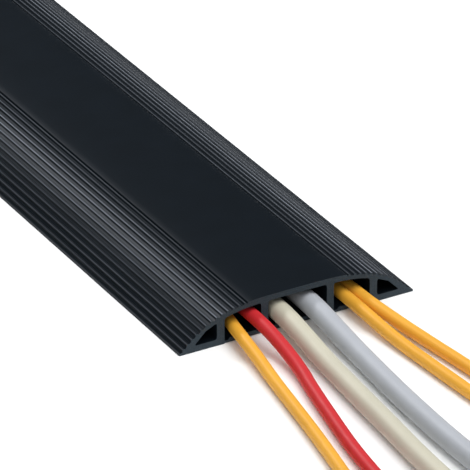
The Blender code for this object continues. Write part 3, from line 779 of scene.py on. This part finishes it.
# A plate with these outlines in X and Y (the second one is a hole), a thickness along Z and rounded rims.
def plate(name, outlines, thickness, rim):
    shape = bpy.data.curves.new(name, "CURVE")
    shape.dimensions = "2D"
    shape.fill_mode = "BOTH"
    shape.extrude = thickness / 2 - rim
    shape.bevel_depth = rim
    shape.bevel_resolution = 2
    shape.offset = -rim
    for outline in outlines:
        line = shape.splines.new("POLY")
        line.points.add(len(outline) - 1)
        for point, (x, y) in zip(line.points, outline):
            point.co = (x, y, 0, 1)
        line.use_cyclic_u = True
    piece = curveToMesh(name, shape)
    openEdit(piece)
    bpy.ops.mesh.select_all(action="SELECT")
    bpy.ops.mesh.remove_doubles(threshold=mergeReach)
    bpy.ops.mesh.normals_make_consistent(inside=False)
    closeEdit()
    return piece


# Turns a plate drawn in X and Y so that its outline is in X and Z and its thickness along Y.
def stood(piece, y):
    piece.data.transform(Matrix.Translation((0, y, 0)) @ Matrix.Rotation(math.pi / 2, 4, "X"))
    return piece


def joined(name, parts):
    deselectAll()
    for part in parts:
        part.select_set(True)
    bpy.context.view_layer.objects.active = parts[0]
    bpy.ops.object.join()
    parts[0].name = name
    return parts[0]


# Cuts one solid out of another and removes the cutter.
def cutAway(piece, cutter):
    pick(piece)
    cut = piece.modifiers.new("cut", "BOOLEAN")
    cut.operation = "DIFFERENCE"
    cut.solver = "EXACT"
    cut.object = cutter
    bpy.ops.object.modifier_apply(modifier="cut")
    bpy.data.objects.remove(cutter, do_unlink=True)
    bpy.ops.object.shade_smooth_by_angle(angle=math.radians(smoothTurn))


# Stations down a sleeve with shallow grooves between its rings. Each ring has a crown and then a groove.
def grooved(start, end, wide, rings, depth):
    (widthFrom, heightFrom), (widthTo, heightTo) = wide
    stations = []
    for k in range(rings):
        for share, sunk in ((0.0, 0), (0.58, 0), (0.68, depth), (0.90, depth)):
            t = (k + share) / rings
            stations.append((start + (end - start) * t, widthFrom + (widthTo - widthFrom) * t - 2 * sunk,
                             heightFrom + (heightTo - heightFrom) * t - 2 * sunk))
    return stations


# Stations given in millimetres, in metres.
def inMm(stations):
    return [tuple(value * mm for value in station) for station in stations]


def dressed(piece, finish):
    piece.data.materials.clear()
    piece.data.materials.append(finish)
    return piece


# A modular patch connector: a ribbed boot, and a clear plug with a latch, eight cores and gold contacts.
# Sizes are in millimetres, as they are for the other two connectors.
patch = {
    "bootGrooves": (-3.0, 7.0, ((8.0, 7.4), (9.6, 7.8)), 5, 0.35),  # start, end, sizes, rings, depth
    "bootBody": [(7.2, 9.7, 7.8), (13.7, 11.2, 7.8), (14.0, 10.8, 7.4), (14.1, 5.2, 4.6),
                 (21.0, 5.2, 4.6)],
    "bootCorner": 2.6,
    "plugBody": [(14.3, 11.2, 6.2), (14.6, 11.7, 6.6), (33.4, 11.7, 6.6), (33.8, 11.3, 6.2)],
    "plugCorner": 0.35,
    "latch": [(33.0, 2.9), (33.0, 3.5), (31.0, 4.0), (25.5, 4.7), (18.0, 4.7), (18.0, 4.1),
              (25.0, 4.0), (29.5, 3.3), (30.0, 2.9)],
    "latchWidth": 6.0,
    "latchRim": 0.12,
    "ways": 8,
    "pitch": 1.02,
    "slot": (0.62, 27.6, 35.0, -4.0, -1.4),  # width, from y to y, from z to z
    "contact": (0.36, 28.0, 33.5, -3.1, -1.2),
    "contactCorner": 0.05,
    "core": (0.42, 20.5, 28.4, -0.6),  # radius, from y to y, z
}


# A block of this size in millimetres: its width, from y to y and from z to z.
def box(name, size, corner=0.08):
    width, yFrom, yTo, zFrom, zTo = size
    height = zTo - zFrom
    piece = loft(name, inMm([(yFrom, width, height), (yTo, width, height)]), corner * mm, 2)
    piece.data.transform(Matrix.Translation((0, 0, (zFrom + zTo) / 2 * mm)))
    return piece


# A number of the same piece side by side, a pitch in millimetres apart.
def row(make, count, pitch):
    made = []
    for k in range(count):
        made.append(make(k))
        made[-1].data.transform(Matrix.Translation(((k - (count - 1) / 2) * pitch * mm, 0, 0)))
    return made


def makePatch():
    ways, pitch = patch["ways"], patch["pitch"]
    boot = loft("boot", inMm(grooved(*patch["bootGrooves"]) + patch["bootBody"]), patch["bootCorner"] * mm)
    plug = loft("plug", inMm(patch["plugBody"]), patch["plugCorner"] * mm)
    cutAway(plug, joined("slots", row(lambda k: box("slot", patch["slot"]), ways, pitch)))
    outline = [(z * mm, y * mm) for y, z in patch["latch"]]
    latch = plate("latch", [outline], patch["latchWidth"] * mm, patch["latchRim"] * mm)
    latch.data.transform(Matrix.Rotation(-math.pi / 2, 4, "Y"))
    contacts = row(lambda k: box("contact", patch["contact"], patch["contactCorner"]), ways, pitch)
    contacts = joined("contacts", contacts)
    radius, start, end, height = patch["core"]
    wires = row(lambda k: dressed(rod("core", radius * mm, start * mm, end * mm), cores[k // 2]), ways, pitch)
    wires = joined("cores", wires)
    wires.data.transform(Matrix.Translation((0, 0, height * mm)))
    return {
        "boot_sleeve": boot,
        "plug_body": dressed(joined("plug", [plug, latch]), polycarbonate),
        "contacts": dressed(contacts, gold),
        "cores": wires,
    }


# A moulded appliance connector with a grooved neck and grip. The front one has three slots for the pins of
# an appliance, and the rear one has a recess with three pins in it.
mains = {
    "neckGrooves": (-5.0, 11.0, ((13.0, 12.6), (15.4, 14.6)), 6, 0.5),
    "flare": [(11.4, 15.6, 14.8), (15.0, 19.0, 16.6), (19.0, 25.6, 19.0), (22.0, 28.0, 19.6)],
    "gripGrooves": (24.0, 38.0, ((28.0, 19.6), (28.0, 19.6)), 6, 0.35),
    "nose": [(38.4, 28.0, 19.6), (52.4, 28.0, 19.6), (53.0, 27.0, 18.6)],
    "corner": 2.4,
    "slots": ((-7.0, 0.6), (7.0, 0.6), (0.0, -3.6)),  # x and z of each slot's middle
    "slotSize": (2.4, 5.2, 38.5, 54.0),  # width, height, from y to y
    "recess": (22.0, 38.0, 55.0, -7.0, 7.0),  # width, from y to y, from z to z
    "recessCorner": 2.0,
    "pinSize": (2.0, 4.0, 36.0, 52.0),
    "pinCorner": 0.4,
}


# A block at one of the three slots' places.
def atSlot(name, size, place, corner=0.08):
    width, height, start, end = size
    x, z = place
    piece = box(name, (width, start, end, z - height / 2, z + height / 2), corner)
    piece.data.transform(Matrix.Translation((x * mm, 0, 0)))
    return piece


def makeMains(end):
    neck = grooved(*mains["neckGrooves"]) + mains["flare"]
    grip = grooved(*mains["gripGrooves"]) + mains["nose"]
    body = loft("moulding", inMm(neck + grip), mains["corner"] * mm)
    if end == "front":
        for place in mains["slots"]:
            cutAway(body, atSlot("cutter", mains["slotSize"], place))
        return {"moulding": body}
    cutAway(body, box("cutter", mains["recess"], mains["recessCorner"]))
    pins = [atSlot("pin", mains["pinSize"], place, mains["pinCorner"]) for place in mains["slots"]]
    return {"moulding": body, "pins": dressed(joined("pins", pins), nickel)}


# A monitor connector: a moulded hood with finger grips, a metal D-shell around its insulator and fifteen
# pins, and two captive screws with knurled heads.
monitor = {
    "neckGrooves": (-5.0, 11.0, ((12.6, 12.2), (14.6, 13.4)), 6, 0.45),
    "neckEnd": [(11.4, 14.8, 13.6), (15.0, 15.0, 13.8)],
    "neckCorner": 4.6,
    "hoodHalf": [(6.6, 10.0), (8.0, 12.0), (8.8, 15.0)],  # half outline, x and y, to where the grips begin
    "grips": (16.0, 36.0, 6, 0.5),  # from y to y, notches, depth
    "bar": [(8.8, 39.0), (16.5, 39.0), (16.5, 48.0)],
    "hoodHeight": 15.6,
    "hoodRim": 1.2,
    "screwHole": (1.9, 36.0, 52.0),  # radius, from y to y
    "flangeHole": (1.9, 46.0, 52.0),
    "screwSpacing": 25.0,
    "flange": ((15.4, 5.9), 0.5),  # half sizes and thickness
    "metalRim": 0.1,
    "shellTop": 8.5,
    "shellBottom": 7.3,
    "shellHalfHeight": 4.15,
    "shellCorner": 1.3,
    "shellWall": 0.5,
    "shellLean": 0.1,  # how far the sides bulge past the bottom's width
    "shellY": (48.3, 54.3),
    "insulator": (0.5, 1.6, 0.15, 49.2),  # inset from the shell's outline, thickness, rim, y
    "pinsInRow": 5,
    "pinPitch": 2.29,
    "pinRows": ((1.98, 0.0), (0.0, -1.14), (-1.98, 0.0)),  # z, and how far the row is shifted
    "pin": (0.38, 48.6, 53.4),
    "head": (27.7, 38.7),  # from y to y
    "headRadius": 3.1,
    "headRim": 0.3,
    "knurls": 22,
    "knurlDepth": 0.22,
    "driverSlot": (0.9, 26.7, 28.9, -4.0, 4.0),
    "driverSlotCorner": 0.05,
    "shaft": (1.5, 38.0, 48.4),  # radius over the thread, and from y to y where it is plain
    "threadDepth": 0.25,
    "threadStart": 48.6,
    "threadPitch": 0.7,
    "tip": 53.5,
    "tipLength": 0.3,
    "tipShare": 0.7,  # of the shaft's width, at the very end
}


# The outline of the D-shell, drawn in by an inset in millimetres.
def dOutline(inset):
    top, bottom = monitor["shellTop"] - inset, monitor["shellBottom"] - inset
    half, cut = monitor["shellHalfHeight"] - inset, monitor["shellCorner"] - inset / 2
    lean = monitor["shellLean"]
    right = [(bottom - cut, -half), (bottom + lean, cut - half), (top, half - cut), (top - cut, half)]
    left = [(-x, z) for x, z in reversed(right)]
    return [(x * mm, z * mm) for x, z in right + left]


# Drills the holes for the two screws.
def drilled(piece, hole):
    radius, start, end = hole
    for side in (-1, 1):
        drill = rod("drill", radius * mm, start * mm, end * mm)
        drill.data.transform(Matrix.Translation((side * monitor["screwSpacing"] / 2 * mm, 0, 0)))
        cutAway(piece, drill)
    return piece


def makeHood():
    start, end, notches, depth = monitor["grips"]
    step = (end - start) / notches
    half = list(monitor["hoodHalf"])
    wide = half[-1][0]
    for k in range(notches):
        y = start + k * step
        half += [(wide, y), (wide - depth, y + 0.25 * step)]
        half += [(wide - depth, y + 0.5 * step), (wide, y + 0.75 * step)]
    half += monitor["bar"]
    outline = [(x * mm, y * mm) for x, y in half + [(-x, y) for x, y in reversed(half)]]
    hood = plate("hood", [outline], monitor["hoodHeight"] * mm, monitor["hoodRim"] * mm)
    drilled(hood, monitor["screwHole"])
    neck = inMm(grooved(*monitor["neckGrooves"]) + monitor["neckEnd"])
    return joined("hood", [hood, loft("neck", neck, monitor["neckCorner"] * mm, 4)])


def makeShell():
    near, far = monitor["shellY"]
    rim = monitor["metalRim"] * mm
    wall = plate("shell", [dOutline(0), dOutline(monitor["shellWall"])], (far - near) * mm, rim)
    stood(wall, (near + far) / 2 * mm)
    (halfX, halfZ), thick = monitor["flange"]
    corners = [(halfX * x * mm, halfZ * z * mm) for x, z in ((-1, -1), (1, -1), (1, 1), (-1, 1))]
    flange = stood(plate("flange", [corners], thick * mm, rim), near * mm)
    return joined("shell", [wall, drilled(flange, monitor["flangeHole"])])


def makePins():
    radius, start, end = monitor["pin"]
    pins = []
    for height, shift in monitor["pinRows"]:
        line = row(lambda k: rod("pin", radius * mm, start * mm, end * mm),
                   monitor["pinsInRow"], monitor["pinPitch"])
        for pin in line:
            pin.data.transform(Matrix.Translation((shift * mm, 0, height * mm)))
        pins += line
    return joined("pins", pins)


def makeInsulator():
    inset, thick, rim, y = monitor["insulator"]
    return stood(plate("insulator", [dOutline(inset)], thick * mm, rim * mm), y * mm)


# A captive screw: a knurled head with a driver slot, and a shaft that is threaded at its far end.
def makeScrew():
    outline = []
    for k in range(2 * monitor["knurls"]):
        turn = math.pi * k / monitor["knurls"]
        radius = monitor["headRadius"] - monitor["knurlDepth"] * (k % 2)
        outline.append((radius * math.cos(turn) * mm, radius * math.sin(turn) * mm))
    near, far = monitor["head"]
    head = plate("head", [outline], (far - near) * mm, monitor["headRim"] * mm)
    stood(head, (near + far) / 2 * mm)
    cutAway(head, box("driverSlot", monitor["driverSlot"], monitor["driverSlotCorner"]))
    radius, start, end = monitor["shaft"]
    wide = 2 * radius
    thin = 2 * (radius - monitor["threadDepth"])
    stations = [(start, thin, thin), (end, thin, thin)]
    y = monitor["threadStart"]
    while y < monitor["tip"] - monitor["threadPitch"]:
        stations += [(y, thin, thin), (y + monitor["threadPitch"] / 2, wide, wide)]
        y += monitor["threadPitch"]
    tipWidth = monitor["tipShare"] * thin
    stations += [(monitor["tip"] - monitor["tipLength"], thin, thin), (monitor["tip"], tipWidth, tipWidth)]
    shaft = loft("shaft", inMm(stations), roundShare * thin / 2 * mm, 4)
    return joined("screw", [head, shaft])


# A copy of a finished template, put in place, riding on its body.
def put(template, name, where, body, finish=None, nodes=()):
    piece = template.copy()
    piece.data = template.data.copy()
    piece.name = name
    bpy.context.scene.collection.objects.link(piece)
    piece.data.transform(where)
    if finish:
        dressed(piece, finish)
    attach(piece, body)
    if nodes:
        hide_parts(*nodes)
    return piece


patchParts = makePatch()
mainsParts = {end: makeMains(end) for end in ("rear", "front")}
monitorParts = {
    "hood": makeHood(),
    "shell": dressed(makeShell(), nickel),
    "pins": dressed(makePins(), gold),
    "insulator": dressed(makeInsulator(), insulator),
    "screw": dressed(makeScrew(), nickel),
}
print("connectors modelled")


def putConnector(name, end, lead):
    where = endPlace(lead, end)
    base = name + "_" + end + "_"
    colour = lead["jacket"]
    moulded = mouldedFinishes[colour]
    if lead["ends"] == "patch":
        parts = patchParts
        return [
            put(parts["boot_sleeve"], base + "boot_sleeve", where, "ramp", moulded, [base + "boot"]),
            put(parts["plug_body"], base + "plug_body", where, "ramp", None, [base + "plug"]),
            put(parts["contacts"], base + "contacts", where, "ramp"),
            put(parts["cores"], base + "cores", where, "ramp"),
        ]
    if lead["ends"] == "mains":
        parts = mainsParts[end]
        node = base + "connector"
        made = [put(parts["moulding"], base + "moulding", where, "ramp", moulded, [node])]
        if "pins" in parts:
            made.append(put(parts["pins"], base + "pins", where, "ramp"))
        return made
    parts = monitorParts
    made = [
        put(parts["hood"], base + "hood_moulding", where, "ramp", moulded, [base + "hood"]),
        put(parts["shell"], base + "shell_metal", where, "ramp", None, [base + "shell"]),
        put(parts["pins"], base + "pins", where, "ramp"),
        put(parts["insulator"], base + "insulator", where, "ramp"),
    ]
    for side, x in (("left", -1), ("right", 1)):
        shifted = where @ Matrix.Translation((x * monitor["screwSpacing"] / 2 * mm, 0, 0))
        node = base + side + "_screw"
        made.append(put(parts["screw"], node + "_metal", shifted, node, None, [node]))
    return made


for name, lead in leads.items():
    fittings = putConnector(name, "rear", lead) + putConnector(name, "front", lead)
for parts in (patchParts, *mainsParts.values(), monitorParts):
    for template in parts.values():
        bpy.data.objects.remove(template, do_unlink=True)
print("connectors in place")
